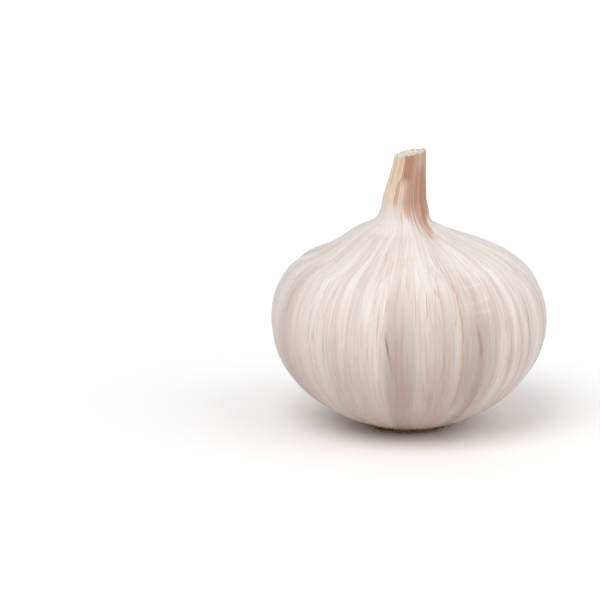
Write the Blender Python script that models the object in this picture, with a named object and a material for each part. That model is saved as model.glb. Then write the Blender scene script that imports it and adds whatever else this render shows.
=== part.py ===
"""Garlic bulb: a head of cloves in its papery skin, standing on its trimmed root plate.

Units are metres and +Z is up. The origin is the centre of the root plate's resting
face, and the front of the bulb faces -Y. Angles round the bulb start at the front and
grow towards +X.
"""

import math
import random
from collections import namedtuple

import bmesh
import bpy
from mathutils import Matrix, Vector

# Clearance between the root plate and the bulb that grew round it.
GAP = 0.0003

# Root plate: a corky disc with the stubs of the trimmed roots round its edge.
PLATE_RADIUS = 0.0088
PLATE_THICKNESS = 0.0035
PLATE_CHAMFER = 0.0006
PLATE_SIDES = 56
STUB_COUNT = 22
STUB_RADIUS = 0.0004
STUB_TIP_RADIUS = 0.00022
STUB_EMBEDDED = 0.0012
STUB_SHORTEST = 0.0009
STUB_LONGEST = 0.0021
STUB_LIFT = 0.0001
STUB_SIDES = 8
STUB_SWAY = math.radians(4)
STUB_SEED = 11

# Bulb: the widest ring, the shoulder under the neck, and the cut neck. Each rise is
# counted from the place below it.
BELLY_RADIUS = 0.0298
BELLY_HEIGHT = 0.0235
SHOULDER_RADIUS = 0.0111
SHOULDER_RISE = 0.01835
NECK_FOOT_RADIUS = 0.00463
NECK_FOOT_RISE = 0.00795
NECK_TOP_RADIUS = 0.00323
NECK_LENGTH = 0.0100
LIP_WIDTH = 0.0004

# Direction of the skin at each of those places, from level outwards, going up.
RIM_SLOPE = math.radians(14)
BELLY_SLOPE = math.radians(90)
SHOULDER_SLOPE = math.radians(164)
NECK_FOOT_SLOPE = math.radians(99)
NECK_TOP_SLOPE = math.radians(95)

# How far each stretch of the outline runs straight on from its ends before it bends.
RIM_REACH = 0.0092
BELLY_REACH_DOWN = 0.0121
BELLY_REACH_UP = 0.0126
SHOULDER_REACH_OUT = 0.0088
SHOULDER_REACH_IN = 0.0040
NECK_FOOT_REACH = 0.0037
NECK_REACH = 0.0034

# The neck stands a little off the axis at its foot and leans back over it at the cut.
NECK_FOOT_OFFSET = -0.00106
NECK_TOP_OFFSET = 0.00013
NECK_FACETS = 5
NECK_FACET_HEIGHT = 0.00012
CUT_RISE = 0.20
CUT_DISH = 0.0004

# On the left the skin rises to a slight brow, sags a little and then climbs to the neck as
# a soft ramp; on the right it meets the neck in a corner.
RAMP_HEIGHT = 0.0018
RAMP_RADIUS = 0.0102
RAMP_WIDTH = 0.0042
SAG_DEPTH = 0.00075
SAG_RADIUS = 0.0196
SAG_WIDTH = 0.0038
BROW_HEIGHT = 0.0003
BROW_RADIUS = 0.0260
BROW_WIDTH = 0.0036

# Grooves between neighbouring cloves: angle from the front, and depth at the belly. They
# start a little above the rim, reach their full depth, and fade above the belly.
Groove = namedtuple("Groove", "angle depth")
GROOVES = (
    Groove(math.radians(-63), 0.0005),
    Groove(math.radians(-3), 0.0008),
    Groove(math.radians(31), 0.0006),
    Groove(math.radians(52), 0.0004),
    Groove(math.radians(94), 0.0006),
    Groove(math.radians(133), 0.0011),
    Groove(math.radians(172), 0.0007),
    Groove(math.radians(214), 0.0012),
    Groove(math.radians(256), 0.0009),
)
GROOVE_HALF_WIDTH = math.radians(6.5)
GROOVE_START = 0.0012
GROOVE_FULL = 0.0080
GROOVE_FADE_RISE = 0.0060

# Facets of the bulb's surface.
COLUMNS = 84
RIM_TO_BELLY_RINGS = 14
BELLY_TO_SHOULDER_RINGS = 14
SHOULDER_TO_NECK_RINGS = 8
NECK_RINGS = 5
CUT_RING_SHARES = (0.82, 0.42)

# Worked out from the sizes above.
SHOULDER_HEIGHT = BELLY_HEIGHT + SHOULDER_RISE
NECK_FOOT_HEIGHT = SHOULDER_HEIGHT + NECK_FOOT_RISE
NECK_TOP_HEIGHT = NECK_FOOT_HEIGHT + NECK_LENGTH
RIM_RADIUS = PLATE_RADIUS + GAP + LIP_WIDTH
RIM_HEIGHT = STUB_LIFT + 2 * STUB_RADIUS + GAP
RECESS_RADIUS = PLATE_RADIUS + GAP
RECESS_HEIGHT = PLATE_THICKNESS + GAP

# A place on the outline: the slope there and the reach of the curve on either side.
Station = namedtuple("Station", "radius height slope reach_before reach_after")
SkinPoint = namedtuple("SkinPoint", "radius height normal")


def clear_scene():
    """Remove every object that is already in the scene."""
    for item in list(bpy.data.objects):
        bpy.data.objects.remove(item, do_unlink=True)


def make_material(name, colour, roughness):
    """A non-metallic Principled material of one colour."""
    material = bpy.data.materials.new(name)
    material.use_nodes = True
    shader = material.node_tree.nodes["Principled BSDF"]
    shader.inputs["Base Color"].default_value = (*colour, 1.0)
    shader.inputs["Roughness"].default_value = roughness
    shader.inputs["Metallic"].default_value = 0.0
    material.diffuse_color = (*colour, 1.0)
    return material


def make_object(name, mesh_data, material, parent=None):
    """Turn a finished bmesh into a smooth-shaded object with one material."""
    bmesh.ops.recalc_face_normals(mesh_data, faces=mesh_data.faces)
    mesh = bpy.data.meshes.new(name)
    mesh_data.to_mesh(mesh)
    mesh_data.free()
    mesh.shade_smooth()
    mesh.set_sharp_from_angle(angle=math.radians(40))
    mesh.materials.append(material)
    item = bpy.data.objects.new(name, mesh)
    item.parent = parent
    bpy.context.scene.collection.objects.link(item)
    return item


def smooth_step(value, start, end):
    """0 up to start, 1 from end on, and an even ease between them."""
    share = min(max((value - start) / (end - start), 0.0), 1.0)
    return share * share * (3.0 - 2.0 * share)


def hump(value, middle, width):
    """A smooth hump of height 1 at the middle, nearly gone at twice its width from it."""
    return math.exp(-(((value - middle) / width) ** 2))


def mix(first, second, share):
    """The value that lies the given share of the way from first to second."""
    return first + (second - first) * share


def curve_between(lower, upper, steps):
    """Points and outward normals from one station up to the next, without the last."""
    start = Vector((lower.radius, lower.height))
    end = Vector((upper.radius, upper.height))
    leave = Vector((math.cos(lower.slope), math.sin(lower.slope))) * lower.reach_after
    arrive = Vector((math.cos(upper.slope), math.sin(upper.slope))) * upper.reach_before
    controls = (start, start + leave, end - arrive, end)
    points = []
    for step in range(steps):
        t = step / steps
        u = 1.0 - t
        place = (
            controls[0] * u**3
            + controls[1] * 3 * u * u * t
            + controls[2] * 3 * u * t * t
            + controls[3] * t**3
        )
        run = (
            (controls[1] - controls[0]) * u * u
            + (controls[2] - controls[1]) * 2 * u * t
            + (controls[3] - controls[2]) * t * t
        ).normalized()
        points.append(SkinPoint(place.x, place.y, Vector((run.y, -run.x))))
    return points


def bulb_outline():
    """The bulb's outer half section, from the rim round the root plate to the cut."""
    rim = Station(RIM_RADIUS, RIM_HEIGHT, RIM_SLOPE, 0.0, RIM_REACH)
    belly = Station(BELLY_RADIUS, BELLY_HEIGHT, BELLY_SLOPE, BELLY_REACH_DOWN, BELLY_REACH_UP)
    shoulder = Station(
        SHOULDER_RADIUS, SHOULDER_HEIGHT, SHOULDER_SLOPE, SHOULDER_REACH_OUT, SHOULDER_REACH_IN
    )
    foot = Station(
        NECK_FOOT_RADIUS, NECK_FOOT_HEIGHT, NECK_FOOT_SLOPE, NECK_FOOT_REACH, NECK_REACH
    )
    top = Station(NECK_TOP_RADIUS, NECK_TOP_HEIGHT, NECK_TOP_SLOPE, NECK_REACH, 0.0)
    outline = curve_between(rim, belly, RIM_TO_BELLY_RINGS)
    outline += curve_between(belly, shoulder, BELLY_TO_SHOULDER_RINGS)
    outline += curve_between(shoulder, foot, SHOULDER_TO_NECK_RINGS)
    outline += curve_between(foot, top, NECK_RINGS)
    outline.append(SkinPoint(top.radius, top.height, Vector((1.0, 0.0))))
    return outline


def groove_depth(angle, height):
    """How far the skin sinks between two cloves at this angle and height."""
    if height >= SHOULDER_HEIGHT:
        return 0.0
    rise = smooth_step(height, RIM_HEIGHT + GROOVE_START, RIM_HEIGHT + GROOVE_FULL)
    fall = 1.0 - smooth_step(height, BELLY_HEIGHT + GROOVE_FADE_RISE, SHOULDER_HEIGHT)
    depth = 0.0
    for groove in GROOVES:
        away = math.remainder(angle - groove.angle, math.tau)
        depth += groove.depth * hump(away, 0.0, GROOVE_HALF_WIDTH)
    return depth * rise * fall


def neck_share(height):
    """0 below the shoulder, 1 from the neck's foot up."""
    return smooth_step(height, SHOULDER_HEIGHT, NECK_FOOT_HEIGHT)


def neck_offset(height):
    """How far the neck's centre lies to the right of the bulb's axis."""
    up_neck = (height - NECK_FOOT_HEIGHT) / (NECK_TOP_HEIGHT - NECK_FOOT_HEIGHT)
    return mix(NECK_FOOT_OFFSET, NECK_TOP_OFFSET, max(up_neck, 0.0)) * neck_share(height)


def ramp_height(point, angle):
    """How much higher the skin lies on its way up to the neck, most on the left."""
    if point.height < BELLY_HEIGHT:
        return 0.0
    leftwards = 0.5 - 0.5 * math.sin(angle)
    rise = RAMP_HEIGHT * hump(point.radius, RAMP_RADIUS, RAMP_WIDTH)
    sag = SAG_DEPTH * hump(point.radius, SAG_RADIUS, SAG_WIDTH)
    brow = BROW_HEIGHT * hump(point.radius, BROW_RADIUS, BROW_WIDTH)
    return (rise - sag + brow) * leftwards * (1.0 - neck_share(point.height))


def skin_place(point, angle):
    """Where the bulb's surface lies at this point of the outline and this angle."""
    depth = groove_depth(angle, point.height)
    facet = NECK_FACET_HEIGHT * math.cos(NECK_FACETS * angle) * neck_share(point.height)
    radius = point.radius - depth * point.normal.x + facet
    height = point.height - depth * point.normal.y + ramp_height(point, angle)
    across = radius * math.sin(angle)
    slant = smooth_step(point.height, NECK_FOOT_HEIGHT, NECK_TOP_HEIGHT) * CUT_RISE
    return Vector(
        (across + neck_offset(point.height), -radius * math.cos(angle), height + slant * across)
    )


def ring_of(mesh_data, places):
    """A closed ring of new vertices at the given places."""
    return [mesh_data.verts.new(place) for place in places]


def join_rings(mesh_data, lower, upper):
    """Quads between two rings of the same length."""
    count = len(lower)
    for i in range(count):
        after = (i + 1) % count
        mesh_data.faces.new((lower[i], lower[after], upper[after], upper[i]))


def close_ring(mesh_data, ring, place):
    """A fan of triangles from a ring to one vertex at the given place."""
    centre = mesh_data.verts.new(place)
    count = len(ring)
    for i in range(count):
        mesh_data.faces.new((ring[i], ring[(i + 1) % count], centre))


def build_bulb(material, parent):
    """The head of cloves in its skin, with the cut neck and the hollow for the root plate."""
    mesh_data = bmesh.new()
    angles = [math.tau * column / COLUMNS for column in range(COLUMNS)]
    outline = bulb_outline()
    rings = [
        ring_of(mesh_data, [skin_place(point, angle) for angle in angles]) for point in outline
    ]
    top = outline[-1]
    cut_centre = Vector((neck_offset(top.height), 0.0, top.height))
    dish = Vector((0.0, 0.0, CUT_DISH))
    edge = [vertex.co.copy() for vertex in rings[-1]]
    for share in CUT_RING_SHARES:
        places = [cut_centre.lerp(place, share) - dish * (1.0 - share) for place in edge]
        rings.append(ring_of(mesh_data, places))
    for height in (RIM_HEIGHT, RECESS_HEIGHT):
        places = [
            Vector((RECESS_RADIUS * math.sin(a), -RECESS_RADIUS * math.cos(a), height))
            for a in angles
        ]
        rings.insert(0, ring_of(mesh_data, places))
    for lower, upper in zip(rings, rings[1:]):
        join_rings(mesh_data, lower, upper)
    close_ring(mesh_data, rings[0], Vector((0.0, 0.0, RECESS_HEIGHT)))
    close_ring(mesh_data, rings[-1], cut_centre - dish)
    return make_object("bulb", mesh_data, material, parent)


def build_root_stubs(material):
    """The ring of trimmed roots, each a short tapered peg that starts inside the plate."""
    chance = random.Random(STUB_SEED)
    mesh_data = bmesh.new()
    for i in range(STUB_COUNT):
        angle = math.tau * i / STUB_COUNT + chance.uniform(-STUB_SWAY, STUB_SWAY)
        length = chance.uniform(STUB_SHORTEST, STUB_LONGEST) + STUB_EMBEDDED
        middle = PLATE_RADIUS - STUB_EMBEDDED + length / 2
        outwards = (
            Matrix.Rotation(angle, 4, "Z")
            @ Matrix.Translation((middle, 0.0, STUB_LIFT + STUB_RADIUS))
            @ Matrix.Rotation(math.radians(90), 4, "Y")
        )
        bmesh.ops.create_cone(
            mesh_data,
            cap_ends=True,
            segments=STUB_SIDES,
            radius1=STUB_RADIUS,
            radius2=STUB_TIP_RADIUS,
            depth=length,
            matrix=outwards,
        )
    stubs = make_object("root_stubs_to_join", mesh_data, material)
    stubs.hide_render = True
    stubs.display_type = "WIRE"
    return stubs


def build_root_plate(material, parent):
    """The corky disc that the bulb rests on, in one piece with its root stubs."""
    mesh_data = bmesh.new()
    edge = PLATE_RADIUS - PLATE_CHAMFER
    section = (
        (edge, 0.0),
        (PLATE_RADIUS, PLATE_CHAMFER),
        (PLATE_RADIUS, PLATE_THICKNESS - PLATE_CHAMFER),
        (edge, PLATE_THICKNESS),
    )
    rings = []
    for radius, height in section:
        places = [
            Vector((radius * math.cos(a), radius * math.sin(a), height))
            for a in (math.tau * side / PLATE_SIDES for side in range(PLATE_SIDES))
        ]
        rings.append(ring_of(mesh_data, places))
    for lower, upper in zip(rings, rings[1:]):
        join_rings(mesh_data, lower, upper)
    mesh_data.faces.new(reversed(rings[0]))
    mesh_data.faces.new(rings[-1])
    plate = make_object("root_plate", mesh_data, material, parent)
    union = plate.modifiers.new("join_stubs", "BOOLEAN")
    union.operation = "UNION"
    union.solver = "EXACT"
    union.object = build_root_stubs(material)
    return plate


def main():
    """Build the garlic bulb from its two pieces, held together by one empty."""
    clear_scene()
    skin = make_material("papery_skin", (0.84, 0.78, 0.73), 0.55)
    cork = make_material("root_cork", (0.52, 0.36, 0.22), 0.85)
    garlic = bpy.data.objects.new("garlic", None)
    bpy.context.scene.collection.objects.link(garlic)
    build_bulb(skin, garlic)
    build_root_plate(cork, garlic)


main()
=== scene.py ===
"""A garlic bulb in its papery skin, as it looks when it stands on a pale table.

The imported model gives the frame: metres, +Z up, the front of the bulb towards -Y, and the
origin at the centre of the root plate's resting face. Angles round the bulb are degrees
from the front, growing towards +X. Levels up the skin run from -1 at the root plate over
0 at the belly, 1 at the shoulder and 2 at the neck's foot to 3 at the cut.
"""

import logging
import math
import random
from dataclasses import dataclass, field
from enum import Enum

import bmesh
import bpy
import numpy as np
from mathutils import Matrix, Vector


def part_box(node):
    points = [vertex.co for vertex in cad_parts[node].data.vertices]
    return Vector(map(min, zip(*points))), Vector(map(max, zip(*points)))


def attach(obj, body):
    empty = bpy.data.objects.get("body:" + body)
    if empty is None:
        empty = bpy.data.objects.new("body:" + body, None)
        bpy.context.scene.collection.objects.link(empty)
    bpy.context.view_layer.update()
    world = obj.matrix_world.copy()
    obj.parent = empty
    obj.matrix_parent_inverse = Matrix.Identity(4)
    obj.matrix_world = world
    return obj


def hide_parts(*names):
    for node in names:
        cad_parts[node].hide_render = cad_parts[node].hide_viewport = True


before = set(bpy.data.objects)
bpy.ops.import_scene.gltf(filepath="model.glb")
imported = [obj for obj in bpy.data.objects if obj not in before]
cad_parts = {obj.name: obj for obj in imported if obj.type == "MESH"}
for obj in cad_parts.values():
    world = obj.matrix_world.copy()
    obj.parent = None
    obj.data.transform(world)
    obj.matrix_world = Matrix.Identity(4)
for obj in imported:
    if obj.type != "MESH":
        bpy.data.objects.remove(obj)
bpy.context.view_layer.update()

LOG = logging.getLogger("garlic_bulb")
MM = 0.001
BODY = "root"

RIM, BELLY, SHOULDER, NECK_FOOT, NECK_CUT = -1.0, 0.0, 1.0, 2.0, 3.0

Colour = tuple[float, float, float, float]
Socket = bpy.types.NodeSocket
Value = Socket | float | Colour


class Slot(Enum):
    """The record's material slots."""

    SKIN = "papery_skin"
    CORK = "root_cork"


# ---------------------------------------------------------------- small maths helpers


def ease(value: np.ndarray | float, start: float, end: float) -> np.ndarray:
    """Rise smoothly from 0 at start to 1 at end.

    Args:
        value: Where to read the rise.
        start: Where it leaves 0.
        end: Where it reaches 1, above or below start.

    Returns:
        The rise, between 0 and 1.
    """
    share = np.clip((value - start) / (end - start), 0.0, 1.0)
    return share * share * (3.0 - 2.0 * share)


def bell(away: np.ndarray, width: float) -> np.ndarray:
    """A smooth hump of height 1 round 0, that has nearly gone at twice its width."""
    return np.exp(-((away / width) ** 2))


def turned(turn: np.ndarray, angle: float) -> np.ndarray:
    """Degrees from an angle to each turn, the short way round."""
    return (turn - angle + 180.0) % 360.0 - 180.0


def upright(length: float) -> np.ndarray:
    """A step straight up, or down if the length is below 0."""
    return np.array([0.0, 0.0, length])


class Ripple:
    """Wandering waves round the bulb that close on themselves."""

    def __init__(self, seed: int, fewest: int, most: int, parts: int, wander: float) -> None:
        """Draw the waves.

        Args:
            seed: Start of the random draws.
            fewest: Fewest waves round the bulb.
            most: Most waves round the bulb.
            parts: How many waves are added up.
            wander: How much each wave shifts with each level up the skin.
        """
        chance = random.Random(seed)
        self.waves = [
            (chance.randint(fewest, most), chance.uniform(0, math.tau), chance.uniform(-wander, wander))
            for _ in range(parts)
        ]

    def __call__(self, turn: np.ndarray, level: np.ndarray | float) -> np.ndarray:
        """Add the waves up.

        Args:
            turn: Degrees round the bulb.
            level: Levels up the skin.

        Returns:
            Their sum at each place, mostly between -1 and 1.
        """
        total = np.zeros(np.broadcast(turn, level).shape)
        for count, start, shift in self.waves:
            total = total + np.cos(np.radians(turn) * count + start + shift * level)
        return total / math.sqrt(len(self.waves))


# ---------------------------------------------------------------- the form of the skin


@dataclass(frozen=True)
class Station:
    """A place on the outline, with the skin's slope there and the reach of the curve."""

    radius: float
    height: float
    slope: float
    reach_before: float
    reach_after: float


@dataclass(frozen=True)
class Groove:
    """A valley in the skin between two cloves, in degrees and millimetres."""

    angle: float
    depth: float
    width: float
    top: float = 0.95
    full: float = 0.45


@dataclass(frozen=True)
class Finger:
    """A tongue of the neck's brown sheath, which runs down to its tip on the white skin."""

    angle: float
    width: float
    tip: float
    lean: float = 0.0


@dataclass(frozen=True)
class ToneShift:
    """A side of the neck that is browner than the rest, or paler if amount is below 0.

    It comes in between the two levels of rise and goes again between the two of fall.
    """

    amount: float
    angle: float
    width: float
    rise: tuple[float, float] = (RIM - 2.0, RIM - 1.0)
    fall: tuple[float, float] = (NECK_CUT + 1.0, NECK_CUT + 2.0)


@dataclass
class SkinForm:
    """The surface of the bulb as one formula that every piece of skin is laid on.

    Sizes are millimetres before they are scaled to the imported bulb.
    """

    nominal_width: float = 59.39
    facing: float = -2.4
    rim: Station = Station(9.5, 1.2, 14.0, 0.0, 9.2)
    belly: Station = Station(29.8, 23.5, 90.0, 12.1, 12.6)
    shoulder: Station = Station(11.1, 41.85, 164.0, 8.8, 4.0)
    foot: Station = Station(4.63, 49.8, 99.0, 3.7, 3.4)
    cut: Station = Station(3.23, 59.8, 95.0, 3.4, 0.0)
    outline_steps: int = 400
    foot_offset: float = -1.06
    cut_offset: float = 0.13
    cut_rise: float = 0.20
    cut_rounding: float = 0.10
    cut_jag: float = 0.14
    ramp_height: float = 1.8
    ramp_radius: float = 10.2
    ramp_width: float = 4.2
    sag_depth: float = 0.75
    sag_radius: float = 19.6
    sag_width: float = 3.8
    brow_height: float = 0.30
    brow_radius: float = 26.0
    brow_width: float = 3.6
    pleat_height: float = 0.11
    pleat_on_body: float = 0.2
    rib_height: float = 0.018
    swell_height: float = 0.05
    neck_facet: float = 0.12
    facet_count: float = 5.0
    facet_turn: float = 26.0
    neck_rib: float = 0.085
    corner_depth: float = 0.95
    corner_level: float = 1.59
    corner_width: float = 0.18
    window_depth: float = 0.12
    window_edges: tuple[float, float] = (22.6, 39.0)
    window_top: float = 0.52
    window_waver: float = 0.05
    crease_levels: tuple[float, ...] = (0.50, 0.45, 0.385, 0.33, 0.285, 0.225)
    crease_slants: tuple[float, float] = (-0.0016, 0.0022)
    crease_starts: tuple[float, float, float] = (2.5, 6.5, 10.5)
    crease_ends: tuple[float, float] = (4.0, 3.0)
    crease_waves: float = 22.0
    crease_shift: float = 1.7
    crease_waver: float = 0.010
    crease_width: float = 0.011
    crease_height: float = 0.045
    wander: float = 0.7
    sheath_foot: float = 1.92
    sheath_thickness: float = 0.07
    sheath_jag: float = 0.075
    sheath_fade: float = 0.12
    faded_side: ToneShift = ToneShift(0.26, -68.0, 36.0)
    brown_edges: tuple[float, float] = (-33.0, 212.0)
    brown_step: float = 10.0
    brown_step_levels: tuple[float, float] = (2.42, 2.56)
    neck_tone: float = 0.62
    neck_tone_waver: float = 0.10
    foot_paleness: float = 0.22
    tone_shifts: tuple[ToneShift, ...] = (
        ToneShift(0.34, 50.0, 26.0, rise=(1.1, 1.7), fall=(2.35, 2.95)),
        ToneShift(0.36, -6.0, 14.0, rise=(2.38, 2.56)),
        ToneShift(-0.34, -17.0, 13.0, fall=(2.42, 2.56)),
    )
    grooves: tuple[Groove, ...] = (
        Groove(-63.0, 0.5, 5.0),
        Groove(-34.0, 0.15, 5.0),
        Groove(-7.7, 0.28, 2.2, 0.8, 0.2),
        Groove(-2.5, 0.62, 7.0, 0.80, 0.15),
        Groove(31.8, 0.30, 2.6, 0.70, 0.1),
        Groove(29.0, 0.35, 7.0),
        Groove(46.3, 0.26, 2.4, 0.80, 0.2),
        Groove(53.5, 0.34, 3.0, 0.75, 0.3),
        Groove(60.5, 0.20, 2.0, 0.60, 0.1),
        Groove(77.0, 0.30, 4.5),
        Groove(94.0, 0.6, 5.5),
        Groove(115.0, 0.3, 3.0),
        Groove(133.0, 1.1, 6.5),
        Groove(172.0, 0.7, 5.0),
        Groove(190.0, 0.3, 3.0),
        Groove(214.0, 1.2, 7.0),
        Groove(236.0, 0.3, 3.0),
        Groove(256.0, 0.9, 6.0),
        Groove(277.0, 0.35, 3.5),
    )
    fingers: tuple[Finger, ...] = (
        Finger(-62.0, 15.0, 1.88),
        Finger(-34.0, 5.0, 1.74),
        Finger(-22.0, 3.5, 1.72),
        Finger(-10.5, 4.0, 1.50),
        Finger(-1.0, 2.5, 1.66),
        Finger(5.0, 3.0, 1.54),
        Finger(12.0, 2.6, 1.42),
        Finger(19.5, 3.0, 1.36),
        Finger(27.0, 2.5, 1.52),
        Finger(34.0, 4.5, 1.40),
        Finger(46.0, 5.0, 1.36),
        Finger(64.0, 13.0, 1.26, 40.0),
        Finger(82.0, 9.0, 1.58),
        Finger(98.0, 7.0, 1.46),
        Finger(121.0, 8.0, 1.38),
        Finger(150.0, 7.0, 1.58),
        Finger(178.0, 8.0, 1.40),
        Finger(207.0, 7.0, 1.52),
        Finger(239.0, 9.0, 1.50),
        Finger(268.0, 9.0, 1.70),
    )
    unit: float = field(init=False)

    def __post_init__(self) -> None:
        """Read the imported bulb's width and lay out the outline and the waves."""
        low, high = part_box("bulb")
        self.unit = (high.x - low.x) / self.nominal_width
        self.table = self._outline_table()
        self.pleats = Ripple(3, 16, 34, 9, 0.8)
        self.broad = Ripple(5, 5, 12, 6, 0.6)
        self.ribs = Ripple(8, 48, 96, 12, 1.6)
        self.neck_ribs = Ripple(13, 18, 44, 10, 0.5)
        self.drift = Ripple(21, 2, 9, 5, 2.2)
        self.jags = Ripple(34, 20, 90, 14, 0.0)

    def _outline_table(self) -> np.ndarray:
        """Lay the outline's curves from station to station.

        Returns:
            Rows of level, radius, height, normal out, normal up and length along the skin.
        """
        stations = (self.rim, self.belly, self.shoulder, self.foot, self.cut)
        rows: list[np.ndarray] = []
        along = 0.0
        t = np.linspace(0.0, 1.0, self.outline_steps)[:, None]
        for number, (lower, upper) in enumerate(zip(stations, stations[1:])):
            start = np.array([lower.radius, lower.height])
            end = np.array([upper.radius, upper.height])
            leave, arrive = (
                np.array([math.cos(math.radians(s.slope)), math.sin(math.radians(s.slope))])
                for s in (lower, upper)
            )
            first = start + leave * lower.reach_after
            second = end - arrive * upper.reach_before
            place = start * (1 - t) ** 3 + first * 3 * (1 - t) ** 2 * t
            place = place + second * 3 * (1 - t) * t**2 + end * t**3
            run = np.gradient(place, axis=0)
            run /= np.linalg.norm(run, axis=1)[:, None]
            steps = np.linalg.norm(np.diff(place, axis=0), axis=1)
            length = np.concatenate([[0.0], np.cumsum(steps)])
            level = number + RIM + length / length[-1]
            rows.append(np.column_stack([level, place, run[:, 1], -run[:, 0], along + length]))
            along += length[-1]
        return np.vstack(rows)

    def outline(self, level: np.ndarray) -> list[np.ndarray]:
        """Radius, height, normal out, normal up and length along, at each level."""
        return [np.interp(level, self.table[:, 0], self.table[:, k]) for k in range(1, 6)]

    def strand(self, turn: np.ndarray, level: np.ndarray) -> np.ndarray:
        """The angle at the belly of the fibre that passes here, as fibres wander a little."""
        return turn - self.wander * self.drift(turn, level)

    def window(self, turn: np.ndarray, level: np.ndarray) -> np.ndarray:
        """Find where the outer skin is missing, beside its free edge.

        Args:
            turn: Degrees round the bulb.
            level: Levels up the skin.

        Returns:
            How much of it is missing, from 0 to 1.
        """
        left, right = self.window_edges
        upper = self.window_top + self.window_waver * self.broad(turn * 3.0, level)
        turn = self.strand(turn, level)
        across = ease(turned(turn, left), -0.5, 0.5) * ease(turned(turn, right), 0.9, -0.9)
        return across * ease(level, upper + 0.10, upper - 0.06) * ease(level, -0.60, -0.25)

    def valleys(self, turn: np.ndarray, level: np.ndarray) -> np.ndarray:
        """Add up the grooves between the cloves.

        Args:
            turn: Degrees round the bulb.
            level: Levels up the skin.

        Returns:
            Their depth in millimetres.
        """
        depth = np.zeros(np.broadcast(turn, level).shape)
        for groove in self.grooves:
            fall = ease(level, groove.top, groove.full)
            away = turned(self.strand(turn, level), groove.angle)
            depth = depth + groove.depth * bell(away, groove.width) * fall
        return depth * ease(level, -0.94, -0.62)

    def creases(self, turn: np.ndarray, level: np.ndarray) -> np.ndarray:
        """Draw the fine wrinkles that run across the window.

        Args:
            turn: Degrees round the bulb.
            level: Levels up the skin.

        Returns:
            Their height, mostly between 0 and 1.
        """
        found = np.zeros(np.broadcast(turn, level).shape)
        left, right = self.window_edges
        window = self.window(turn, level)
        turn = self.strand(turn, level)
        for number, crease in enumerate(self.crease_levels):
            slant = self.crease_slants[number % 2] * (turn - left)
            phase = np.radians(turn) * self.crease_waves + number * self.crease_shift
            wave = self.crease_waver * np.sin(phase)
            near = left + self.crease_starts[number % 3]
            far = right - self.crease_ends[number % 2]
            reach = ease(turn, near - 2.0, near + 1.0) * ease(turn, right, far)
            found = found + bell(level - crease - slant - wave, self.crease_width) * reach
        return found * window

    def sheath(self, turn: np.ndarray, level: np.ndarray) -> np.ndarray:
        """Find where the neck's brown sheath covers the white skin.

        Args:
            turn: Degrees round the bulb.
            level: Levels up the skin.

        Returns:
            How much it covers, from 0 to 1.
        """
        reach = np.zeros(np.broadcast(turn, level).shape)
        for finger in self.fingers:
            length = self.sheath_foot - finger.tip
            middle = finger.angle + finger.lean * (level - NECK_FOOT)
            reach = np.maximum(reach, length * bell(turned(turn, middle), finger.width))
        foot = self.sheath_foot - reach + self.sheath_jag * self.jags(turn, 0.0)
        faded = self.faded_side
        soft = self.sheath_fade + faded.amount * bell(turned(turn, faded.angle), faded.width)
        return ease(level - foot, -soft, soft)

    def sheath_tone(self, turn: np.ndarray, level: np.ndarray) -> np.ndarray:
        """Choose the tone of the neck's sheath.

        Args:
            turn: Degrees round the bulb.
            level: Levels up the skin.

        Returns:
            0 where it stayed cream, about 0.5 where it is pinkish, 1 at its brownest.
        """
        left, right = self.brown_edges
        left = left + self.brown_step * ease(level, *self.brown_step_levels)
        beyond = (turn - left) % 360.0
        across = right - left
        browned = ease(beyond, -1.0, 6.0) * ease(beyond, across, across - 12.0)
        tone = self.neck_tone + self.neck_tone_waver * self.neck_ribs(turn, level)
        tone = tone - self.foot_paleness * ease(level, 2.1, 1.6)
        for shift in self.tone_shifts:
            here = bell(turned(turn, shift.angle), shift.width)
            tone = tone + shift.amount * here * ease(level, *shift.rise) * ease(level, *shift.fall[::-1])
        return np.clip(browned * tone, 0.0, 1.0)

    def relief(self, turn: np.ndarray, level: np.ndarray) -> np.ndarray:
        """Add up everything that stands out of the smooth outline or is sunk into it.

        Args:
            turn: Degrees round the bulb.
            level: Levels up the skin.

        Returns:
            The skin's height over its smooth outline, in millimetres.
        """
        near_neck = ease(level, 0.55, 1.5) * ease(level, 2.15, 1.7)
        on_neck = ease(level, 1.7, 2.15)
        on_body = ease(level, 1.5, 0.6) * ease(level, -1.0, -0.7)
        patchy = ease(self.broad(turn, level * 0.3), -0.8, 1.0)
        pleat = 0.55 - np.abs(self.pleats(turn, level))
        height = self.pleat_height * pleat * (self.pleat_on_body * on_body + patchy * near_neck)
        height = height - self.valleys(turn, level)
        height = height + self.rib_height * self.ribs(turn, level) * (on_body + near_neck)
        height = height + self.swell_height * self.broad(turn, level) * on_body
        facets = np.cos(np.radians(turn + self.facet_turn) * self.facet_count)
        height = height + self.neck_facet * facets * on_neck
        height = height + self.neck_rib * (0.55 - np.abs(self.neck_ribs(turn, level))) * on_neck
        height = height + self.sheath_thickness * self.sheath(turn, level)
        corner = bell(level - self.corner_level, self.corner_width)
        rightwards = ease(np.sin(np.radians(turn + self.facing)), 0.0, 0.9)
        height = height - self.corner_depth * corner * rightwards
        height = height - self.window_depth * self.window(turn, level)
        return height + self.crease_height * self.creases(turn, level)

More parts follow.
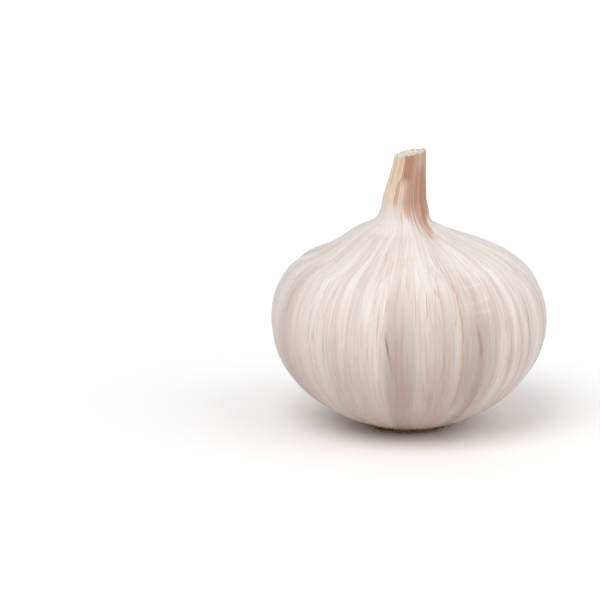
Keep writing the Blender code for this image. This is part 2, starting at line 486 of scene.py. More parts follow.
    def surface(self, turn: np.ndarray, level: np.ndarray, lift: np.ndarray | float = 0.0) -> np.ndarray:
        """Find places on the skin.

        Args:
            turn: Degrees round the bulb.
            level: Levels up the skin.
            lift: Millimetres off the skin.

        Returns:
            Points in metres, with the three coordinates last.
        """
        radius, height, out, up, _ = self.outline(level)
        rise = self.relief(turn, level) + lift
        angle = np.radians(turn + self.facing)
        leftwards = 0.5 - 0.5 * np.sin(angle)
        ramp = self.ramp_height * bell(radius - self.ramp_radius, self.ramp_width)
        ramp = ramp - self.sag_depth * bell(radius - self.sag_radius, self.sag_width)
        ramp = ramp + self.brow_height * bell(radius - self.brow_radius, self.brow_width)
        ramp = ramp * leftwards * ease(level, 0.1, 0.5) * ease(level, 2.2, 1.4)
        radius = radius + rise * out
        height = height + rise * up + ramp
        across = radius * np.sin(angle)
        neck = ease(level, SHOULDER, NECK_FOOT)
        up_neck = np.clip(level - NECK_FOOT, 0.0, 1.0)
        offset = neck * (self.foot_offset + (self.cut_offset - self.foot_offset) * up_neck)
        slant = self.cut_rise * (across - self.cut_rounding * np.maximum(across, 0.0) ** 2)
        slant = slant * ease(level, NECK_FOOT, NECK_CUT)
        jag = self.cut_jag * self.jags(turn, level) * ease(level, 2.93, NECK_CUT)
        places = [across + offset, -radius * np.cos(angle), height + slant + jag]
        return np.stack(places, axis=-1) * self.unit

    def fibre(self, turn: np.ndarray, level: np.ndarray) -> np.ndarray:
        """Find which fibre passes at each place.

        Args:
            turn: Degrees round the bulb.
            level: Levels up the skin.

        Returns:
            Vectors with the fibre's direction from the axis in x and y, and how far up it is in z.
        """
        angle = np.radians(self.strand(turn, level))
        along = self.outline(level)[4] / self.belly.radius
        return np.stack([np.cos(angle), np.sin(angle), along], axis=-1)


# ---------------------------------------------------------------- meshes


def grid_faces(rows: int, columns: int, closed: bool) -> list[tuple[int, ...]]:
    """Lay quads between neighbouring rows and columns of vertices.

    Args:
        rows: How many rows there are, going up.
        columns: How many vertices are in each row, going round.
        closed: Whether the last column joins the first.

    Returns:
        The faces, as vertex numbers.
    """
    faces = []
    for lower in range(0, (rows - 1) * columns, columns):
        for column in range(columns if closed else columns - 1):
            after = (column + 1) % columns
            upper = lower + columns
            faces.append((lower + column, lower + after, upper + after, upper + column))
    return faces


def fan_faces(first: int, columns: int, point: int, above: bool) -> list[tuple[int, ...]]:
    """Close a ring of vertices with triangles to one point.

    Args:
        first: Number of the ring's first vertex.
        columns: How many vertices are in the ring.
        point: Number of the point.
        above: Whether the point comes after the ring, going up, or before it.

    Returns:
        The faces, as vertex numbers.
    """
    pairs = [(first + i, first + (i + 1) % columns) for i in range(columns)]
    return [(a, b, point) if above else (b, a, point) for a, b in pairs]


def new_piece(
    name: str, points: np.ndarray, faces: list, finish: bpy.types.Material
) -> bpy.types.Object:
    """Make a smooth-shaded piece that rides on the bulb's body.

    Args:
        name: Name of the piece.
        points: Its vertices, in metres.
        faces: Its faces, as vertex numbers.
        finish: Its finish.

    Returns:
        The new object.
    """
    mesh = bpy.data.meshes.new(name)
    mesh.from_pydata(points.reshape(-1, 3).tolist(), [], faces)
    mesh.validate()
    mesh.shade_smooth()
    mesh.materials.append(finish)
    piece = bpy.data.objects.new(name, mesh)
    bpy.context.scene.collection.objects.link(piece)
    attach(piece, BODY)
    return piece


def store_numbers(mesh: bpy.types.Mesh, name: str, values: np.ndarray) -> None:
    """Keep one number for each vertex under a name that the finishes read."""
    layer = mesh.attributes.new(name, "FLOAT", "POINT")
    layer.data.foreach_set("value", np.asarray(values, np.float32).ravel())


def store_vectors(mesh: bpy.types.Mesh, name: str, values: np.ndarray) -> None:
    """Keep one vector for each vertex under a name that the finishes read."""
    layer = mesh.attributes.new(name, "FLOAT_VECTOR", "POINT")
    layer.data.foreach_set("vector", np.asarray(values, np.float32).ravel())


def store_map(mesh: bpy.types.Mesh, across: np.ndarray, along: np.ndarray) -> None:
    """Lay out the mesh flat: across and along are one number for each vertex, 0 to 1.

    A face that spans the joint at the back is laid out past the right-hand edge.

    Args:
        mesh: The mesh to lay out.
        across: Each vertex's place round the bulb.
        along: Each vertex's place up the skin.
    """
    loops = np.empty(len(mesh.loops), np.int32)
    mesh.loops.foreach_get("vertex_index", loops)
    starts = np.empty(len(mesh.polygons), np.int32)
    mesh.polygons.foreach_get("loop_start", starts)
    flat = np.column_stack([across, along])[loops]
    for start, end in zip(starts, np.append(starts[1:], len(loops))):
        corner = flat[start:end, 0]
        if np.ptp(corner) > 0.5:
            corner[corner < 0.5] += 1.0
    layer = mesh.uv_layers.new(name="OFBake")
    layer.data.foreach_set("uv", (flat * 0.98 + (0.005, 0.01)).astype(np.float32).ravel())


# ---------------------------------------------------------------- shader node helpers


class Board:
    """Adds nodes to one node tree and joins them."""

    def __init__(self, tree: bpy.types.NodeTree) -> None:
        """Start on a tree."""
        self.tree = tree

    def node(self, kind: str, inputs: dict | None = None, **settings: object) -> bpy.types.Node:
        """Add a node.

        Args:
            kind: The node's type, without its ShaderNode prefix.
            inputs: Values or sockets for its inputs, by name or number.
            settings: The node's own settings.

        Returns:
            The new node.
        """
        made = self.tree.nodes.new(kind if kind.startswith("Node") else "ShaderNode" + kind)
        for name, value in settings.items():
            setattr(made, name, value)
        for name, value in (inputs or {}).items():
            self.feed(made.inputs[name], value)
        return made

    def feed(self, socket: Socket, value: Value) -> None:
        """Join a socket to another, or set its own value.

        Args:
            socket: The input to feed.
            value: What it gets.
        """
        if isinstance(value, bpy.types.NodeSocket):
            self.tree.links.new(value, socket)
        else:
            socket.default_value = value

    def maths(self, operation: str, first: Value, second: Value = 0.5, clamp: bool = False) -> Socket:
        """Work out one sum on two values.

        Args:
            operation: Blender's name for the sum.
            first: The first value.
            second: The second value, if the sum takes one.
            clamp: Whether the result is held between 0 and 1.

        Returns:
            The result.
        """
        return self.node("Math", {0: first, 1: second}, operation=operation, use_clamp=clamp).outputs[0]

    def times(self, first: Value, *others: Value) -> Value:
        """Multiply values.

        Args:
            first: The first value.
            others: The values to multiply it by.

        Returns:
            The product.
        """
        for other in others:
            first = self.maths("MULTIPLY", first, other)
        return first

    def minus(self, first: Value, second: Value, clamp: bool = False) -> Socket:
        """The first value less the second."""
        return self.maths("SUBTRACT", first, second, clamp)

    def rise(self, value: Value, start: Value, end: Value, low: float = 0.0, high: float = 1.0) -> Socket:
        """Rise smoothly from low to high.

        Args:
            value: Where to read the rise.
            start: The value at which it leaves low.
            end: The value at which it reaches high.
            low: The result before start.
            high: The result after end.

        Returns:
            The result.
        """
        inputs = {"Value": value, "From Min": start, "From Max": end, "To Min": low, "To Max": high}
        return self.node("MapRange", inputs, interpolation_type="SMOOTHSTEP").outputs["Result"]

    def coat(self, colour: Value, paint: Value, *masks: Value) -> Socket:
        """Lay paint over a colour.

        Args:
            colour: The colour below.
            paint: The colour of the paint.
            masks: How well it covers: their product is 0 for not at all and 1 for fully.

        Returns:
            The coated colour.
        """
        inputs = {0: self.times(*masks), 6: colour, 7: paint}
        return self.node("Mix", inputs, data_type="RGBA", clamp_factor=True).outputs[2]

    def number(self, name: str) -> Socket:
        """The number that the mesh keeps under this name."""
        return self.node("Attribute", attribute_name=name).outputs["Fac"]

    def vector(self, name: str) -> Socket:
        """The vector that the mesh keeps under this name."""
        return self.node("Attribute", attribute_name=name).outputs["Vector"]

    def effect(self, tree: bpy.types.NodeTree, inputs: dict) -> Socket:
        """Place a shared effect.

        Args:
            tree: The effect's node group.
            inputs: Values or sockets for its inputs.

        Returns:
            Its mask.
        """
        return self.node("Group", inputs, node_tree=tree).outputs["Mask"]


@dataclass(frozen=True)
class Streaks:
    """Streaks along the fibres: how fine, how short, and how much of the noise shows."""

    across: float
    along: float
    low: float
    high: float


@dataclass(frozen=True)
class Lines:
    """Thin branching lines along the fibres: how close, how branched and how wide."""

    across: float
    along: float
    width: float


@dataclass(frozen=True)
class Blotches:
    """Soft round patches: their size in millimetres and how much of the noise shows."""

    size: float
    low: float
    high: float


class Effects:
    """Shared effects, each a node group that is built once and gives one mask."""

    def __init__(self) -> None:
        """Build the groups."""
        self.vein = self._vein()
        self.groups = {Streaks: self._streaks(), Lines: self._lines(), Blotches: self._blotches()}

    def mask(self, board: Board, pattern: Streaks | Lines | Blotches) -> Socket:
        """Place a pattern in a material; the group's inputs are named as the pattern's fields.

        Args:
            board: The material's nodes.
            pattern: Which effect, with its values.

        Returns:
            Its mask.
        """
        inputs = {name.capitalize(): value for name, value in vars(pattern).items()}
        if isinstance(pattern, Blotches):
            inputs["Place"] = board.node("TexCoord").outputs["Object"]
        else:
            inputs["Fibre"] = board.vector("fibre")
        return board.effect(self.groups[type(pattern)], inputs)

    @staticmethod
    def _start(
        name: str, vector: str, numbers: dict[str, float]
    ) -> tuple[Board, bpy.types.NodeOutputs, Socket]:
        """Open a group.

        Args:
            name: Its name.
            vector: The name of its vector input.
            numbers: Its number inputs and the values that they have by themselves.

        Returns:
            The group's nodes, its inputs as the nodes see them, and its mask to feed.
        """
        tree = bpy.data.node_groups.new(name, "ShaderNodeTree")
        tree.interface.new_socket(vector, in_out="INPUT", socket_type="NodeSocketVector")
        for label, value in numbers.items():
            socket = tree.interface.new_socket(label, in_out="INPUT", socket_type="NodeSocketFloat")
            socket.default_value = value
        tree.interface.new_socket("Mask", in_out="OUTPUT", socket_type="NodeSocketFloat")
        board = Board(tree)
        given = board.node("NodeGroupInput").outputs
        return board, given, board.node("NodeGroupOutput").inputs["Mask"]

    @staticmethod
    def _fibre_noise(board: Board, given: bpy.types.NodeOutputs, detail: float) -> Socket:
        """Noise that is fine across the fibres and long along them.

        Args:
            board: The group's nodes.
            given: The group's inputs: Fibre, and how often the noise changes Across and Along.
            detail: How much fine detail the noise has.

        Returns:
            The noise, mostly between 0.3 and 0.7.
        """
        x, y, z = board.node("SeparateXYZ", {0: given["Fibre"]}).outputs
        across, along = given["Across"], given["Along"]
        parts = {0: board.times(x, across), 1: board.times(y, across), 2: board.times(z, along)}
        place = board.node("CombineXYZ", parts).outputs[0]
        inputs = {"Vector": place, "Scale": 1.0, "Detail": detail}
        return board.node("TexNoise", inputs).outputs["Fac"]

    def _streaks(self) -> bpy.types.NodeTree:
        """Soft streaks along the fibres: Low and High set how much of the noise shows.

        Returns:
            The group.
        """
        numbers = {"Across": 10.0, "Along": 1.0, "Low": 0.4, "High": 0.65}
        board, given, mask = self._start("fibre_streaks", "Fibre", numbers)
        noise = self._fibre_noise(board, given, 3.0)
        board.feed(mask, board.rise(noise, given["Low"], given["High"]))
        return board.tree

    def _lines(self) -> bpy.types.NodeTree:
        """Thin branching lines along the fibres, Width wide in the noise's own units.

        Returns:
            The group.
        """
        numbers = {"Across": 10.0, "Along": 1.0, "Width": 0.02}
        board, given, mask = self._start("branching_lines", "Fibre", numbers)
        noise = self._fibre_noise(board, given, 1.5)
        away = board.maths("ABSOLUTE", board.minus(noise, 0.5))
        board.feed(mask, board.minus(1.0, board.maths("DIVIDE", away, given["Width"]), clamp=True))
        return board.tree

    def _vein(self) -> bpy.types.NodeTree:
        """One line up the skin from Start to End, at Angle and Width wide in degrees.

        Returns:
            The group.
        """
        numbers = {"Angle": 0.0, "Lean": 0.0, "Width": 1.0}
        numbers |= {"Level": 0.0, "Start": -1.0, "End": 1.0, "Fade": 0.15}
        board, given, mask = self._start("single_vein", "Fibre", numbers)
        level, fade = given["Level"], given["Fade"]
        x, y, _ = board.node("SeparateXYZ", {0: given["Fibre"]}).outputs
        leant = board.maths("ADD", given["Angle"], board.times(given["Lean"], level))
        angle = board.maths("RADIANS", leant)
        sine, cosine = board.maths("SINE", angle), board.maths("COSINE", angle)
        beside = board.maths("DEGREES", board.minus(board.times(x, sine), board.times(y, cosine)))
        towards = board.maths("ADD", board.times(x, cosine), board.times(y, sine))
        share = board.maths("DIVIDE", beside, given["Width"])
        line = board.minus(1.0, board.times(share, share), clamp=True)
        near = board.maths("GREATER_THAN", towards, 0.0)
        above = board.maths("DIVIDE", board.minus(level, given["Start"]), fade, clamp=True)
        below = board.maths("DIVIDE", board.minus(given["End"], level), fade, clamp=True)
        board.feed(mask, board.times(line, near, above, below))
        return board.tree

    def _blotches(self) -> bpy.types.NodeTree:
        """Soft round patches, Size wide in millimetres, with more of them as Low falls.

        Returns:
            The group.
        """
        numbers = {"Size": 5.0, "Low": 0.5, "High": 0.7}
        board, given, mask = self._start("blotches", "Place", numbers)
        scale = board.maths("DIVIDE", 1.0 / MM, given["Size"])
        inputs = {"Vector": given["Place"], "Scale": scale, "Detail": 3.0}
        noise = board.node("TexNoise", inputs).outputs["Fac"]
        board.feed(mask, board.rise(noise, given["Low"], given["High"]))
        return board.tree


# ---------------------------------------------------------------- finishes


class Tone(Enum):
    """What a line in the skin is coloured with."""

    BROWN = "brown"
    TAN = "tan"
    PALE = "pale"


@dataclass(frozen=True)
class Vein:
    """A line in the skin, with its width in degrees and its ends as levels. A few wide ones are not lines
    but broad patches of painted shade and of painted light, each marked where it is listed.
    """

    angle: float
    width: float
    start: float
    end: float
    strength: float
    lean: float = 0.0
    tone: Tone = Tone.BROWN


@dataclass(frozen=True)
class PaperySkin:
    """Dry translucent garlic skin, white on the body and tan on the neck."""

    effects: Effects
    white: Colour = (0.745, 0.695, 0.67, 1.0)
    pale: Colour = (0.86, 0.83, 0.805, 1.0)
    grey: Colour = (0.60, 0.545, 0.53, 1.0)
    tan: Colour = (0.57, 0.385, 0.30, 1.0)
    shade: Colour = (0.50, 0.395, 0.365, 1.0)
    # painted shade: the warm pinkish colour that darkens the lower skin
    blush: Colour = (0.62, 0.425, 0.36, 1.0)
    brown: Colour = (0.34, 0.17, 0.13, 1.0)
    thread: Colour = (0.88, 0.84, 0.80, 1.0)
    orange: Colour = (0.70, 0.42, 0.24, 1.0)
    spot: Colour = (0.74, 0.60, 0.40, 1.0)
    neck_cream: Colour = (0.86, 0.645, 0.465, 1.0)
    neck_pink: Colour = (0.60, 0.39, 0.30, 1.0)
    neck_brown: Colour = (0.40, 0.17, 0.095, 1.0)
    base_stain: Colour = (0.55, 0.36, 0.23, 1.0)
    broad: Streaks = Streaks(4.5, 0.7, 0.35, 0.68)
    medium: Streaks = Streaks(19.0, 1.1, 0.38, 0.68)
    fine: Streaks = Streaks(66.0, 2.6, 0.35, 0.70)
    dashes: Streaks = Streaks(74.0, 3.6, 0.585, 0.67)
    lines: Lines = Lines(13.0, 0.65, 0.013)
    hairs: Lines = Lines(27.0, 0.8, 0.028)
    spots: Blotches = Blotches(4.5, 0.58, 0.70)
    crinkle: Blotches = Blotches(1.3, 0.30, 0.70)
    neck_threads: Streaks = Streaks(14.0, 0.6, 0.36, 0.64)
    neck_streaks: Streaks = Streaks(34.0, 1.2, 0.36, 0.66)
    neck_hairs: Lines = Lines(8.0, 0.4, 0.03)
    roughness: float = 0.52
    roughness_spread: float = 0.10
    bump_strength: float = 0.5
    bump_depth: float = 0.2
    scatter: float = 0.2
    scatter_reach: tuple[float, float, float] = (1.0, 0.62, 0.48)
    scatter_depth: float = 1.5
    refraction: float = 1.42
    specular: float = 0.28
    sheen: float = 0.05
    veins: tuple[Vein, ...] = (
        Vein(-7.9, 0.5, -0.14, 0.20, 0.75, -9.0),
        Vein(-6.8, 0.9, -0.35, 0.05, 0.45, -9.0),
        Vein(-4.6, 0.6, -0.40, 0.20, 0.40),
        Vein(-2.4, 0.9, -0.45, 0.34, 0.42),
        Vein(-0.4, 0.5, -0.35, 0.10, 0.35),
        Vein(3.2, 0.4, 0.10, 0.65, 0.22),
        Vein(13.2, 0.45, -0.10, 0.40, 0.25),
        Vein(18.2, 0.6, -0.20, 0.25, 0.35),
        # painted shade: a broad brown patch that darkens the lower middle lobe
        Vein(12.5, 9.5, -0.90, 0.50, 0.27),
        Vein(30.9, 1.3, -0.17, 0.25, 0.85, -8.0),
        # painted shade: a broad brown patch that darkens the lower window
        Vein(29.5, 9.0, -0.60, 0.30, 0.20),
        # painted shade: a broad brown patch that darkens the main groove
        Vein(-3.0, 7.0, -0.60, 0.20, 0.22),
        Vein(43.0, 7.0, 0.00, 0.60, 0.18),
        Vein(31.8, 1.4, -0.85, 0.10, 0.30, -3.0),
        Vein(30.6, 0.8, 0.10, 0.62, 0.22),
        Vein(46.2, 0.6, -0.30, 0.28, 0.40, -2.0),
        Vein(46.0, 0.7, 0.20, 0.62, 0.22, -2.0),
        Vein(54.0, 0.8, -0.45, 0.50, 0.30, -4.0),
        Vein(60.5, 0.7, -0.40, 0.40, 0.25, -3.0),
        Vein(77.0, 1.6, -0.20, 0.50, 0.22),
        Vein(-63.5, 1.0, 0.05, 0.45, 0.40),
        Vein(-47.0, 0.5, 0.25, 0.75, 0.18),
        Vein(-28.0, 0.4, 0.20, 0.90, 0.16),
        Vein(54.0, 8.0, 2.50, 2.80, 0.35),
        Vein(34.0, 14.0, 1.05, 1.75, 0.44),
        Vein(11.0, 4.0, 1.20, 1.50, 0.22),
        Vein(-58.0, 0.6, -0.20, 0.50, 0.40, tone=Tone.TAN),
        Vein(-52.5, 0.5, -0.05, 0.38, 0.40, tone=Tone.TAN),
        Vein(-44.5, 0.45, -0.35, 0.22, 0.38, tone=Tone.TAN),
        Vein(-38.0, 0.4, 0.05, 0.55, 0.30, tone=Tone.TAN),
        Vein(-32.5, 0.45, -0.35, 0.15, 0.38, tone=Tone.TAN),
        Vein(-20.0, 0.45, -0.40, 0.10, 0.42, tone=Tone.TAN),
        Vein(-16.8, 0.4, -0.35, 0.24, 0.40, tone=Tone.TAN),
        Vein(-13.8, 0.45, -0.40, 0.02, 0.42, tone=Tone.TAN),
        Vein(22.4, 0.35, -0.60, 0.64, 0.55, tone=Tone.TAN),
        Vein(6.5, 0.35, 0.00, 0.55, 0.35, 1.0, Tone.TAN),
        Vein(-62.0, 7.0, 2.30, 3.10, 0.85, tone=Tone.TAN),
        Vein(-33.0, 7.0, 2.45, 3.10, 0.85, tone=Tone.TAN),
        Vein(31.0, 1.8, 1.20, 1.34, 0.55, tone=Tone.TAN),
        # painted light: a broad pale patch that brightens the left front, where the key light falls
        Vein(-42.0, 16.0, 0.00, 0.90, 0.22, tone=Tone.PALE),
        # painted light: a broad pale patch that brightens the lower right of the body
        Vein(58.0, 24.0, -1.20, -0.10, 0.24, tone=Tone.PALE),
        Vein(-10.9, 0.5, 0.12, 0.95, 0.50, 1.5, Tone.PALE),
        Vein(7.2, 0.45, 0.02, 0.58, 0.50, 1.0, Tone.PALE),
        Vein(-27.0, 0.5, -0.10, 0.60, 0.30, tone=Tone.PALE),
        Vein(41.5, 1.8, -0.40, 0.60, 0.10, -1.0, Tone.PALE),
        Vein(56.8, 1.0, -0.30, 0.60, 0.12, -2.0, Tone.PALE),
        Vein(66.0, 2.6, -0.50, 0.60, 0.22, -2.0, Tone.PALE),
        Vein(-10.0, 4.5, 1.75, 2.45, 0.45, tone=Tone.PALE),
        Vein(40.0, 9.0, 2.66, 3.10, 0.18, tone=Tone.PALE),
        # painted light: a broad pale patch that lifts the shade where the shoulder meets the neck's foot
        # on the left
        Vein(-38.0, 26.0, 1.02, 2.00, 0.40, tone=Tone.PALE),
    )

    def material(self, name: str) -> bpy.types.Material:
        """Build the material.

        Args:
            name: Its name.

        Returns:
            The new material.
        """
        made = bpy.data.materials.new(name)
        made.use_nodes = True
        board = Board(made.node_tree)
        shader = made.node_tree.nodes["Principled BSDF"]
        medium, fine = (self.effects.mask(board, streaks) for streaks in (self.medium, self.fine))
        broken = board.rise(medium, 0.0, 1.0, 0.55, 1.0)
        # dark veins; the broad brown patches among them are painted shade
        dark = board.times(self._marks(board, Tone.BROWN), broken)
        colour = self._paper(board, medium, fine)
        colour = self._hollows(board, colour, fine)
        colour = self._patches(board, colour, medium)
        colour = self._neck(board, colour)
        colour = board.coat(colour, self.orange, self._marks(board, Tone.TAN), broken)
        # pale veins; the broad pale patches among them are painted light
        colour = board.coat(colour, self.thread, self._marks(board, Tone.PALE))
        colour = board.coat(colour, self.brown, dark)
        spread = self.roughness_spread
        gloss = board.rise(medium, 0.0, 1.0, self.roughness - spread, self.roughness + spread)
        board.feed(shader.inputs["Base Color"], colour)
        board.feed(shader.inputs["Roughness"], gloss)
        board.feed(shader.inputs["Normal"], self._bump(board, medium, fine, dark))
        shader.inputs["Subsurface Weight"].default_value = self.scatter
        shader.inputs["Subsurface Radius"].default_value = self.scatter_reach
        shader.inputs["Subsurface Scale"].default_value = self.scatter_depth * MM
        shader.inputs["IOR"].default_value = self.refraction
        shader.inputs["Specular IOR Level"].default_value = self.specular
        shader.inputs["Sheen Weight"].default_value = self.sheen
        return made

    def _paper(self, board: Board, medium: Socket, fine: Socket) -> Socket:
        """Paint the plain skin: white streaks, painted shade that darkens and warms it low down, and thin
        tan lines.

        Args:
            board: The material's nodes.
            medium: The mask of the medium streaks.
            fine: The mask of the fine streaks.

        Returns:
            The colour.
        """
        level = board.number("level")
        body = board.rise(level, 1.35, 0.75)
        broad, dashes = (self.effects.mask(board, streaks) for streaks in (self.broad, self.dashes))
        lines, hairs = (self.effects.mask(board, thin) for thin in (self.lines, self.hairs))
        shade_amount = board.rise(broad, 0.0, 1.0, 0.66, 0.42)
        colour = board.coat(self.white, self.pale, broad, 0.85)
        # painted shade: the skin grows darker and warmer towards the bottom, unevenly along the broad
        # streaks
        colour = board.coat(colour, self.blush, board.rise(level, 0.55, -0.65), shade_amount)
        colour = board.coat(colour, self.grey, medium, board.rise(level, 1.1, 1.7, 0.34, 0.10))
        colour = board.coat(colour, self.tan, fine, 0.20)
        colour = board.coat(colour, self.tan, dashes, 0.50)
        colour = board.coat(colour, self.tan, lines, body, 0.55)
        return board.coat(colour, self.tan, hairs, body, 0.22)

    def _hollows(self, board: Board, colour: Socket, fine: Socket) -> Socket:
        """Shade the grooves and the thin inner skin that the window lays bare.

        Args:
            board: The material's nodes.
            colour: The skin's colour so far.
            fine: The mask of the fine streaks.

        Returns:
            The colour with the hollows shaded and the skin's torn rims browned.
        """
        sunk = board.rise(board.number("valley"), 0.04, 0.66)
        bare = board.rise(fine, 0.0, 1.0, 0.42, 0.58)
        lower = board.rise(board.number("level"), 0.52, 0.20, 0.40, 1.0)
        colour = board.coat(colour, self.shade, sunk, 0.55)
        colour = board.coat(colour, self.shade, board.number("window"), bare, lower)
        colour = board.coat(colour, self.thread, board.number("crease"), 0.16)
        return board.coat(colour, self.tan, board.number("rim"), 0.45)

    def _patches(self, board: Board, colour: Socket, medium: Socket) -> Socket:
        """Lay yellowish spots on the shoulder and a stain round the root plate.

        Args:
            board: The material's nodes.
            colour: The skin's colour so far.
            medium: The mask of the medium streaks.

        Returns:
            The colour with the patches on it.
        """
        level = board.number("level")
        spots = self.effects.mask(board, self.spots)
        above, below = board.rise(level, 0.55, 0.85), board.rise(level, 1.5, 1.15)
        uneven = board.rise(medium, 0.0, 1.0, 0.35, 0.95)
        colour = board.coat(colour, self.spot, spots, above, below, 0.45)
        return board.coat(colour, self.base_stain, board.rise(level, -0.70, -0.98), uneven)

    def _neck(self, board: Board, colour: Socket) -> Socket:
        """Lay the neck's sheath over the skin, cream on one side and brown on the other.

        Args:
            board: The material's nodes.
            colour: The skin's colour so far.

        Returns:
            The colour with the neck on it.
        """
        tone = board.number("tone")
        browned = board.rise(tone, 0.1, 0.5)
        threads, streaks = (
            self.effects.mask(board, streaks) for streaks in (self.neck_threads, self.neck_streaks)
        )
        hairs = self.effects.mask(board, self.neck_hairs)
        uneven = board.maths("ADD", tone, board.times(board.minus(threads, 0.5), 0.22))
        neck = board.coat(self.neck_cream, self.pale, threads, 0.30)
        neck = board.coat(neck, self.neck_pink, board.rise(uneven, 0.06, 0.40))
        neck = board.coat(neck, self.neck_brown, board.rise(uneven, 0.48, 1.0))
        neck = board.coat(neck, self.neck_cream, streaks, browned, 0.28)
        neck = board.coat(neck, self.brown, hairs, browned, 0.45)
        return board.coat(colour, neck, board.number("sheath"), 0.94)

    def _marks(self, board: Board, tone: Tone) -> Value:
        """Draw all the veins of one tone, with the broad patches of painted shade and painted light that
        are listed among them.

        Args:
            board: The material's nodes.
            tone: Which veins to draw.

        Returns:
            Their mask, between 0 and 1.
        """
        fibre, level = board.vector("fibre"), board.number("level")
        total: Value = 0.0
        for vein in self.veins:
            if vein.tone is not tone:
                continue
            inputs = {"Fibre": fibre, "Angle": vein.angle, "Lean": vein.lean, "Width": vein.width}
            inputs |= {"Level": level, "Start": vein.start, "End": vein.end}
            line = board.times(board.effect(self.effects.vein, inputs), vein.strength)
            total = board.maths("MAXIMUM", total, line)
        return total

    def _bump(self, board: Board, medium: Socket, fine: Socket, dark: Socket) -> Socket:
        """Raise the streaks and the paper's crinkle, and sink the dark veins.

        Args:
            board: The material's nodes.
            medium: The mask of the medium streaks.
            fine: The mask of the fine streaks.
            dark: The mask of the dark veins.

        Returns:
            The normal.
        """
        crinkle = self.effects.mask(board, self.crinkle)
        height = board.maths("ADD", board.times(fine, 0.55), board.times(medium, 0.35))
        height = board.maths("ADD", height, board.times(crinkle, 0.26))
        height = board.minus(height, board.times(dark, 0.8))
        inputs = {"Strength": self.bump_strength, "Distance": self.bump_depth * MM, "Height": height}
        return board.node("Bump", inputs).outputs[0]


@dataclass(frozen=True)
class CorkFinish:
    """Dry cork of the root plate: cream where it was cut, brown towards its edge."""

    effects: Effects
    cream: Colour = (0.80, 0.66, 0.49, 1.0)
    brown: Colour = (0.42, 0.20, 0.08, 1.0)
    pit: Colour = (0.56, 0.36, 0.20, 1.0)
    grain: Blotches = Blotches(0.5, 0.38, 0.66)
    patches: Blotches = Blotches(3.0, 0.40, 0.70)
    roughness: float = 0.88
    bump_strength: float = 0.6
    bump_depth: float = 0.3

    def material(self, name: str) -> bpy.types.Material:
        """Build the material, with its colour growing browner where edge is high.

        Args:
            name: Its name.

        Returns:
            The new material.
        """
        made = bpy.data.materials.new(name)
        made.use_nodes = True
        board = Board(made.node_tree)
        shader = made.node_tree.nodes["Principled BSDF"]
        grain, patches = (self.effects.mask(board, blotches) for blotches in (self.grain, self.patches))
        uneven = board.rise(grain, 0.0, 1.0, 0.6, 1.0)
        colour = board.coat(self.cream, self.pit, grain, 0.35)
        colour = board.coat(colour, self.pit, patches, 0.25)
        colour = board.coat(colour, self.brown, board.number("edge"), uneven)
        gloss = board.rise(grain, 0.0, 1.0, self.roughness - 0.1, self.roughness)
        inputs = {"Strength": self.bump_strength, "Distance": self.bump_depth * MM, "Height": grain}
        board.feed(shader.inputs["Base Color"], colour)
        board.feed(shader.inputs["Roughness"], gloss)
        board.feed(shader.inputs["Normal"], board.node("Bump", inputs).outputs[0])
        return made


# ---------------------------------------------------------------- the bulb's pieces


def dress_skin(
    mesh: bpy.types.Mesh,
    form: SkinForm,
    turn: np.ndarray,
    level: np.ndarray,
    rim: np.ndarray | None = None,
) -> None:
    """Keep on a piece of skin what its finish reads.

    Args:
        mesh: The piece's mesh.
        form: The bulb's form.
        turn: Each vertex's degrees round the bulb.
        level: Each vertex's level up the skin.
        rim: On a torn strip, which has no window, how near each vertex is to its free edge.
    """
    none = np.zeros(turn.size)
    store_vectors(mesh, "fibre", form.fibre(turn, level))
    store_numbers(mesh, "level", level)
    store_numbers(mesh, "valley", form.valleys(turn, level))
    store_numbers(mesh, "window", form.window(turn, level) if rim is None else none)
    store_numbers(mesh, "crease", form.creases(turn, level))
    store_numbers(mesh, "sheath", form.sheath(turn, level))
    store_numbers(mesh, "tone", form.sheath_tone(turn, level))
    store_numbers(mesh, "rim", none if rim is None else rim)


